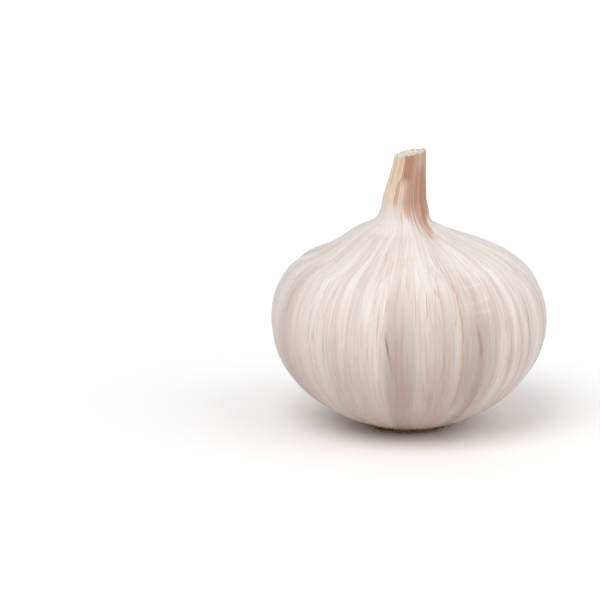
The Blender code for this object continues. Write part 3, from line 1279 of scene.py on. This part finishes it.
@dataclass
class BulbSkin:
    """The whole head in its closed skin, from the hollow over the root plate to the cut."""

    form: SkinForm
    finish: bpy.types.Material
    columns: int = 480
    rows: tuple[int, ...] = (54, 74, 38, 28)
    lip_width: float = 0.35
    lip_slope: float = 0.1
    cut_depth: float = 1.2
    hollow_height: float = 3.8
    hollow_radius: float = 9.1

    def build(self) -> bpy.types.Object:
        """Mesh the skin as rings from the hollow's ceiling up to the cut, and dress it.

        Returns:
            The piece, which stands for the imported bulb.
        """
        form = self.form
        turns = np.linspace(-180.0, 180.0, self.columns, endpoint=False)
        levels = self._levels()
        outside = form.surface(*np.meshgrid(turns, levels))
        lip, inside, peak = self._cut_end(outside[-1])
        ceiling, mouth, pit = self._hollow(turns)
        rings = np.concatenate([[ceiling, mouth], outside, [lip, inside]])
        levels = np.concatenate([[RIM, RIM], levels, [NECK_CUT, NECK_CUT]])
        last = (len(rings) - 1) * self.columns
        top = len(rings) * self.columns
        faces = grid_faces(len(rings), self.columns, closed=True)
        faces += fan_faces(last, self.columns, top, above=True)
        faces += fan_faces(0, self.columns, top + 1, above=False)
        points = np.vstack([rings.reshape(-1, 3), peak, pit])
        turn = np.append(np.tile(turns, len(rings)), [0.0, 0.0])
        level = np.append(np.repeat(levels, self.columns), [NECK_CUT, RIM])
        piece = new_piece("papery_skin", points, faces, self.finish)
        dress_skin(piece.data, form, turn, level)
        along = form.outline(level)[4]
        store_map(piece.data, turn / 360.0 + 0.5, along / along.max())
        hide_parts("bulb")
        return piece

    def _levels(self) -> np.ndarray:
        """Space the rings closer where the skin bends more.

        Returns:
            The levels of the rings from the rim to the cut.
        """
        bounds = (RIM, BELLY, SHOULDER, NECK_FOOT, NECK_CUT)
        parts = [np.linspace(a, b, n, endpoint=False) for a, b, n in zip(bounds, bounds[1:], self.rows)]
        return np.concatenate([*parts, [NECK_CUT]])

    def _cut_end(self, edge: np.ndarray) -> tuple[np.ndarray, np.ndarray, np.ndarray]:
        """Turn the skin's upper edge inwards, so that it closes below the cut.

        Args:
            edge: The ring of points at the skin's upper edge.

        Returns:
            The ring of the lip, the ring inside it, and the point in the middle.
        """
        unit = self.form.unit
        centre = edge.mean(axis=0)
        inward = (centre - edge) / np.linalg.norm(centre - edge, axis=1)[:, None] * unit
        down = upright(-self.cut_depth * unit)
        inside = edge + inward * (self.lip_width + self.lip_slope) + down
        return edge + inward * self.lip_width, inside, centre + down

    def _hollow(self, turns: np.ndarray) -> tuple[np.ndarray, np.ndarray, np.ndarray]:
        """Place the wall of the hollow that holds the root plate.

        Args:
            turns: Degrees round the bulb of the ring's points.

        Returns:
            The ring of the ceiling, the ring at the mouth, and the ceiling's middle.
        """
        unit = self.form.unit
        angle = np.radians(turns)
        wall = np.stack([np.sin(angle), -np.cos(angle), np.zeros_like(angle)], axis=-1)
        wall = wall * self.hollow_radius * unit
        height = upright(self.hollow_height * unit)
        return wall + height, wall + upright(self.form.rim.height * unit), height


@dataclass(frozen=True)
class Flap:
    """A strip of outer skin whose free edge stands a little off the bulb.

    The strip reaches round the bulb from its free edge by width, to the left if it is below 0.
    """

    name: str
    edge: float
    width: float
    start: float
    end: float
    lift: float
    lean: float = 0.0


@dataclass
class SkinFlaps:
    """The free edges of the outer skin where it has torn along its fibres."""

    form: SkinForm
    finish: bpy.types.Material
    thickness: float = 0.05
    rows: int = 90
    columns: int = 12
    first_seed: int = 100
    tear: float = 0.30
    curl: float = 1.5
    tuck: float = 0.12
    clearance: float = 0.02
    flaps: tuple[Flap, ...] = (
        Flap("skin_edge_front", 22.4, -9.0, -0.80, 0.66, 0.06),
        Flap("torn_strip_front", -7.9, -3.2, -0.30, 0.20, 0.13, -9.0),
        Flap("skin_edge_fold", 7.0, -3.2, 0.02, 0.55, 0.06, 3.0),
        Flap("skin_edge_right", 101.0, -9.0, -0.70, 0.55, 0.09, 4.0),
        Flap("skin_edge_back", 168.0, -8.0, -0.85, 0.70, 0.10, -4.0),
        Flap("torn_strip_back", 207.0, 6.0, -0.60, 0.35, 0.13, 5.0),
        Flap("skin_edge_left", 262.0, -10.0, -0.75, 0.60, 0.10, -3.0),
    )

    def build(self) -> list[bpy.types.Object]:
        """Build every flap and return the pieces."""
        return [self._flap(number, flap) for number, flap in enumerate(self.flaps)]

    def _flap(self, number: int, flap: Flap) -> bpy.types.Object:
        """Build one flap.

        Args:
            number: Its place in the list, which its waves start from.
            flap: Its sizes.

        Returns:
            The piece.
        """
        wave = Ripple(self.first_seed + number, 10, 60, 8, 0.0)
        shares = np.linspace(0.0, 1.0, self.columns)
        share, level = np.meshgrid(shares, np.linspace(flap.start, flap.end, self.rows))
        spread = ease(level, flap.start, flap.start + 0.25) * ease(level, flap.end, flap.end - 0.2)
        torn = self.tear * wave(level * 60.0, 0.0) * np.clip(share * 2.0 - 1.0, 0.0, 1.0)
        edge = flap.edge + flap.lean * level + torn
        turn = edge + flap.width * (1.0 - share) * (0.25 + 0.75 * spread)
        turn = turn + self.form.wander * self.form.drift(turn, level)
        curl = ease(share, 0.25, 1.0) ** self.curl
        rise = flap.lift * curl * spread * (1.0 + 0.35 * wave(level * 25.0 + 90.0, 0.0))
        tucked = self.tuck * (1.0 - ease(share, 0.0, 0.35)) + self.tuck * (1.0 - spread)
        window = self.form.window(turn, level) * self.form.window_depth
        lift = np.maximum(rise, 0.0) - tucked + window + self.clearance
        places = self.form.surface(turn, level, lift)
        rim = ease(share, 0.72, 1.0) * spread
        if flap.width > 0:
            turn, level, places, rim = (each[:, ::-1] for each in (turn, level, places, rim))
        faces = grid_faces(self.rows, self.columns, closed=False)
        piece = new_piece(flap.name, places, faces, self.finish)
        dress_skin(piece.data, self.form, turn.ravel(), level.ravel(), rim)
        wall = piece.modifiers.new("skin_thickness", "SOLIDIFY")
        wall.thickness = self.thickness * MM
        wall.offset = 1.0
        return piece


@dataclass(frozen=True)
class Strands:
    """Thin strands that taper along their paths and make one piece."""

    name: str
    edge: float
    slot: Slot
    finish: bpy.types.Material
    sides: int = 6
    taper: float = 0.65

    def build(self, paths: list[tuple[np.ndarray, float]], unit: float) -> bpy.types.Object:
        """Build the piece.

        Args:
            paths: Each strand's path and its radius at the start, in millimetres.
            unit: Metres in one of those millimetres.

        Returns:
            The piece.
        """
        points: list[np.ndarray] = []
        faces: list[tuple[int, ...]] = []
        for path, thick in paths:
            first = sum(map(len, points))
            points.append(self._rings(path, thick))
            tube = grid_faces(len(path), self.sides, closed=True)
            faces += [tuple(first + corner for corner in reversed(face)) for face in tube]
            tip = first + (len(path) - 1) * self.sides
            faces.append(tuple(range(first, first + self.sides)))
            faces.append(tuple(reversed(range(tip, tip + self.sides))))
        piece = new_piece(self.name, np.vstack(points) * unit, faces, self.finish)
        store_numbers(piece.data, "edge", np.full(len(piece.data.vertices), self.edge))
        return piece

    def _rings(self, path: np.ndarray, thick: float) -> np.ndarray:
        """Place the points of one strand.

        Args:
            path: The places along its middle.
            thick: Its radius at the start.

        Returns:
            The points, ring after ring.
        """
        run = np.gradient(path, axis=0)
        run /= np.linalg.norm(run, axis=1)[:, None]
        aside = np.cross(run, np.array([0.31, 0.17, 0.93]))
        aside /= np.linalg.norm(aside, axis=1)[:, None]
        above = np.cross(aside, run)
        turn = math.tau * np.arange(self.sides)[:, None] / self.sides
        radius = thick * (1.0 - self.taper * np.linspace(0.0, 1.0, len(path)))[:, None, None]
        ring = aside[:, None] * np.cos(turn) + above[:, None] * np.sin(turn)
        return (path[:, None] + radius * ring).reshape(-1, 3)


@dataclass
class NeckCut:
    """The cut end of the neck: dry leaf bases packed one inside the other."""

    form: SkinForm
    finish: bpy.types.Material
    columns: int = 160
    rings: int = 40
    layers: float = 5.5
    ridge: float = 0.10
    grain: float = 0.05
    sink: float = 0.22
    drop: float = 0.06
    fibre_seed: int = 91
    fibre_count: int = 70
    fibre_foot: float = 0.2
    fibre_lean: float = 0.22
    fibre_curl: float = 0.18
    fibre_length: tuple[float, float] = (0.40, 0.85)
    fibre_radius: tuple[float, float] = (0.05, 0.10)
    fibre_edge: float = 0.15

    def build(self) -> list[bpy.types.Object]:
        """Build the cut end and the torn fibres on it, and return the pieces."""
        return [self._cut(), self._fibres()]

    def _cut(self) -> bpy.types.Object:
        """Build the cut end, uneven where each dry leaf base broke a little differently.

        Returns:
            The piece.
        """
        unit = self.form.unit
        turns = np.linspace(-180.0, 180.0, self.columns, endpoint=False)
        edge = self.form.surface(turns, np.full_like(turns, NECK_CUT))
        centre = edge.mean(axis=0)
        turn, share = np.meshgrid(turns, np.linspace(0.985, 0.05, self.rings))
        bend, rough = Ripple(55, 2, 7, 5, 3.0), Ripple(56, 9, 40, 12, 60.0)
        layer = np.cos(share * self.layers * math.tau + 1.5 * bend(turn, share))
        uneven = 0.4 + 0.6 * ease(bend(turn + 70.0, share * 2.0), -1.0, 1.0)
        height = self.ridge * layer * uneven + self.grain * rough(turn, share)
        height = height * ease(share, 0.0, 0.3) - self.sink * (1.0 - share) - self.drop
        places = centre + (edge - centre) * share[..., None]
        places[..., 2] += height * unit
        last = (self.rings - 1) * self.columns
        faces = grid_faces(self.rings, self.columns, closed=True)
        faces += fan_faces(last, self.columns, self.rings * self.columns, above=True)
        points = np.vstack([places.reshape(-1, 3), centre + upright(-self.sink * unit)])
        piece = new_piece("neck_cut", points, faces, self.finish)
        brown = 0.35 * ease(layer, 0.1, -0.9) * uneven + 0.25 * ease(share, 0.8, 1.0)
        store_numbers(piece.data, "edge", np.append(brown.ravel(), 0.3))
        return piece

    def _fibres(self) -> bpy.types.Object:
        """Build the short dry fibres that stand up from the cut, most of them at its lip.

        Returns:
            The piece.
        """
        chance = random.Random(self.fibre_seed)
        turns = np.linspace(-180.0, 180.0, 360, endpoint=False)
        edge = self.form.surface(turns, np.full_like(turns, NECK_CUT)) / self.form.unit
        centre = edge.mean(axis=0)
        lean, curl = self.fibre_lean, self.fibre_curl
        t = np.linspace(0.0, 1.0, 5)[:, None]
        paths = []
        for _ in range(self.fibre_count):
            spot = edge[chance.randrange(len(edge))]
            share = 1.0 - 0.8 * chance.random() ** 2
            foot = centre + (spot - centre) * share * 0.985 + upright(-self.fibre_foot)
            leant = np.array([chance.uniform(-lean, lean), chance.uniform(-lean, lean), 1.0])
            curled = np.array([chance.uniform(-curl, curl), chance.uniform(-curl, curl), 0.0])
            length = chance.uniform(*self.fibre_length)
            paths.append((foot + leant * length * t + curled * t * t, chance.uniform(*self.fibre_radius)))
        fibres = Strands("neck_fibres", self.fibre_edge, Slot.SKIN, self.finish)
        return fibres.build(paths, self.form.unit)


@dataclass
class RootPlate:
    """The corky root plate with its trimmed roots and the wisps round them.

    The section runs from the middle of the underside over the edge to the top, as pairs
    of radius and height.
    """

    form: SkinForm
    finish: bpy.types.Material
    radius: float = 8.8
    thickness: float = 3.4
    columns: int = 160
    flat_radii: tuple[float, ...] = (0.3, 1.5, 3.0, 4.5, 6.0, 7.0)
    round_edge: tuple[tuple[float, float], ...] = (
        (7.6, 0.02),
        (8.0, 0.10),
        (8.35, 0.25),
        (8.6, 0.5),
        (8.75, 0.85),
    )
    wall: tuple[float, float] = (1.4, 2.4)
    knob_height: float = 0.16
    knob_rise: float = 0.6
    stub_seed: int = 77
    stub_count: int = 74
    stub_start: tuple[float, float] = (7.9, 8.5)
    stub_length: tuple[float, float] = (0.8, 2.3)
    stub_height: float = 0.32
    stub_radius: tuple[float, float] = (0.16, 0.28)
    stub_edge: float = 0.9
    wisp_seed: int = 83
    wisp_count: int = 26
    wisp_ends: tuple[float, float] = (-0.93, -0.80)
    wisp_lift: float = 0.10
    wisp_sway: float = 14.0
    wisp_radius: tuple[float, float] = (0.05, 0.09)
    wisp_edge: float = 0.75

    def build(self) -> list[bpy.types.Object]:
        """Build the disc, the stubs and the wisps, and return the pieces."""
        disc = self._disc()
        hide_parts("root_plate")
        return [disc, self._stubs(), self._wisps()]

    def _disc(self) -> bpy.types.Object:
        """Build the disc: flat and cream where it was cut, knobbly and brown round its edge.

        Returns:
            The piece.
        """
        unit = self.form.unit
        section = [(radius, 0.0) for radius in self.flat_radii] + list(self.round_edge)
        section += [(self.radius, height) for height in self.wall]
        section += [(self.radius - 0.4, self.thickness - 0.2), (self.radius - 1.2, self.thickness)]
        radius, height = np.array(section).T[..., None]
        turns = np.linspace(0.0, 360.0, self.columns, endpoint=False)
        angle = np.radians(turns)
        knobs = Ripple(71, 12, 60, 12, 9.0)(turns, np.arange(len(section))[:, None] * 0.37)
        swell = self.knob_height * ease(radius, 6.0, 8.4) * knobs
        level = np.maximum(height + self.knob_rise * np.abs(swell) * (height > 0), 0.0)
        reach = radius + swell
        rings = np.stack([reach * np.sin(angle), -reach * np.cos(angle), level], axis=-1) * unit
        brown = np.broadcast_to(ease(radius, 6.6, 8.3), reach.shape)
        top = len(section) * self.columns
        faces = grid_faces(len(section), self.columns, closed=True)
        faces += fan_faces(top - self.columns, self.columns, top, above=True)
        faces += fan_faces(0, self.columns, top + 1, above=False)
        points = np.vstack([rings.reshape(-1, 3), upright(self.thickness * unit), np.zeros(3)])
        piece = new_piece("root_disc", points, faces, self.finish)
        store_numbers(piece.data, "edge", np.append(brown.ravel(), [0.5, 0.0]))
        return piece

    def _stubs(self) -> bpy.types.Object:
        """Build the short trimmed roots round the disc's edge, each bent its own way.

        Returns:
            The piece.
        """
        chance = random.Random(self.stub_seed)
        t = np.linspace(0.0, 1.0, 5)
        paths = []
        for i in range(self.stub_count):
            angle = math.tau * (i + chance.uniform(-0.35, 0.35)) / self.stub_count
            length = chance.uniform(*self.stub_length)
            sway = chance.uniform(-0.35, 0.35)
            rise = chance.uniform(0.05, 0.45)
            reach = chance.uniform(*self.stub_start) + length * t
            bend = angle + sway * t * t * 0.25
            height = self.stub_height + rise * t
            path = np.stack([reach * np.sin(bend), -reach * np.cos(bend), height], axis=-1)
            paths.append((path, chance.uniform(*self.stub_radius)))
        stubs = Strands("root_stubs", self.stub_edge, Slot.CORK, self.finish)
        return stubs.build(paths, self.form.unit)

    def _wisps(self) -> bpy.types.Object:
        """Build the dry hair-like roots that lie on the skin beyond the stubs.

        Returns:
            The piece.
        """
        chance = random.Random(self.wisp_seed)
        t = np.linspace(0.0, 1.0, 8)
        paths = []
        for i in range(self.wisp_count):
            angle = 360.0 * (i + chance.uniform(-0.4, 0.4)) / self.wisp_count
            start = RIM + 0.02
            level = start + (chance.uniform(*self.wisp_ends) - RIM) * t
            turn = angle + chance.uniform(-self.wisp_sway, self.wisp_sway) * t * t
            path = self.form.surface(turn, level, self.wisp_lift) / self.form.unit
            path[:, 2] = np.maximum(path[:, 2], 0.15)
            paths.append((path, chance.uniform(*self.wisp_radius)))
        wisps = Strands("root_wisps", self.wisp_edge, Slot.CORK, self.finish)
        return wisps.build(paths, self.form.unit)


# ---------------------------------------------------------------- the studio


@dataclass(frozen=True)
class Sun:
    """A soft distant lamp: where it stands, how strong it is and how wide it looks."""

    name: str
    azimuth: float
    elevation: float
    strength: float
    spread: float


@dataclass
class Studio:
    """Pale floor, soft light and the camera in front of the bulb."""

    elevation: float = 13.5
    distance: float = 0.55
    frame_width: float = 0.13
    aside: float = -0.0235
    aim_height: float = 0.0235
    aim_up: float = 0.0039
    sensor: float = 36.0
    nearest: float = 0.01
    sky: float = 0.64
    floor_size: float = 8.0
    floor_white: float = 0.95
    floor_bounce: float = 0.80
    floor_roughness: float = 0.9
    floor_specular: float = 0.1
    suns: tuple[Sun, ...] = (
        Sun("key_light", -30.0, 54.0, 1.28, 40.0),
        Sun("fill_light", 62.0, 34.0, 0.70, 60.0),
    )

    def build(self) -> None:
        """Set up the floor, the lights, the world and the camera."""
        self._floor()
        self._world()
        for sun in self.suns:
            self._lamp(sun)
        self._camera()
        bpy.context.scene.view_settings.view_transform = "Standard"

    def _floor(self) -> None:
        """Lay a wide pale floor at the height that the bulb rests on.

        It throws less light back than it shows, as a floor does that stands in open shade.
        """
        mesh = bpy.data.meshes.new("floor")
        sheet = bmesh.new()
        bmesh.ops.create_grid(sheet, x_segments=1, y_segments=1, size=self.floor_size)
        sheet.to_mesh(mesh)
        sheet.free()
        floor = bpy.data.objects.new("floor", mesh)
        bpy.context.scene.collection.objects.link(floor)
        paint = bpy.data.materials.new("floor_paint")
        paint.use_nodes = True
        board = Board(paint.node_tree)
        shader = paint.node_tree.nodes["Principled BSDF"]
        seen = board.node("LightPath").outputs["Is Camera Ray"]
        bounce, white = ((grey, grey, grey, 1.0) for grey in (self.floor_bounce, self.floor_white))
        board.feed(shader.inputs["Base Color"], board.coat(bounce, white, seen))
        shader.inputs["Roughness"].default_value = self.floor_roughness
        shader.inputs["Specular IOR Level"].default_value = self.floor_specular
        mesh.materials.append(paint)

    def _world(self) -> None:
        """Make the surroundings: full white where they are seen, dimmer as light."""
        world = bpy.data.worlds.new("studio")
        world.use_nodes = True
        board = Board(world.node_tree)
        back = world.node_tree.nodes["Background"]
        seen = board.node("LightPath").outputs["Is Camera Ray"]
        board.feed(back.inputs["Strength"], board.rise(seen, 0.0, 1.0, self.sky, 1.0))
        back.inputs["Color"].default_value = (1.0, 1.0, 1.0, 1.0)
        bpy.context.scene.world = world

    def _lamp(self, sun: Sun) -> None:
        """Hang one lamp so that it shines on the bulb.

        Args:
            sun: The lamp's place and light.
        """
        lamp = bpy.data.lights.new(sun.name, "SUN")
        lamp.energy = sun.strength
        lamp.angle = math.radians(sun.spread)
        holder = bpy.data.objects.new(sun.name, lamp)
        around, up = math.radians(sun.azimuth), math.radians(sun.elevation)
        level = math.cos(up)
        towards = Vector((math.sin(around) * level, -math.cos(around) * level, math.sin(up)))
        holder.location = towards
        holder.rotation_euler = towards.to_track_quat("Z", "Y").to_euler()
        bpy.context.scene.collection.objects.link(holder)

    def _camera(self) -> None:
        """Stand the camera a little above the bulb, with the bulb right of the middle."""
        tilt = math.radians(self.elevation)
        upwards = Vector((0.0, math.sin(tilt), math.cos(tilt)))
        back = Vector((0.0, -math.cos(tilt), math.sin(tilt)))
        aim = Vector((self.aside, 0.0, self.aim_height)) + upwards * self.aim_up
        lens = bpy.data.cameras.new("camera")
        lens.sensor_width = self.sensor
        lens.lens = self.sensor * self.distance / self.frame_width
        lens.clip_start = self.nearest
        camera = bpy.data.objects.new("camera", lens)
        camera.location = aim + back * self.distance
        camera.rotation_euler = back.to_track_quat("Z", "Y").to_euler()
        bpy.context.scene.collection.objects.link(camera)
        bpy.context.scene.camera = camera


def main() -> None:
    """Build the bulb piece by piece and report each one."""
    logging.basicConfig(level=logging.INFO, format="%(message)s")
    form = SkinForm()
    effects = Effects()
    skin = PaperySkin(effects).material("papery_skin")
    loose_skin = PaperySkin(effects, scatter=0.0).material("loose_skin")
    cork = CorkFinish(effects).material("root_cork")
    dry_leaf = CorkFinish(
        effects, cream=(0.93, 0.87, 0.79, 1.0), brown=(0.66, 0.47, 0.35, 1.0), pit=(0.84, 0.73, 0.62, 1.0)
    ).material("cut_leaf")
    pieces = [BulbSkin(form, skin).build()]
    pieces += SkinFlaps(form, loose_skin).build()
    pieces += NeckCut(form, dry_leaf).build()
    pieces += RootPlate(form, cork).build()
    for piece in pieces:
        LOG.info("%s: %d faces", piece.name, len(piece.data.polygons))
    Studio().build()


if __name__ == "__main__":
    main()
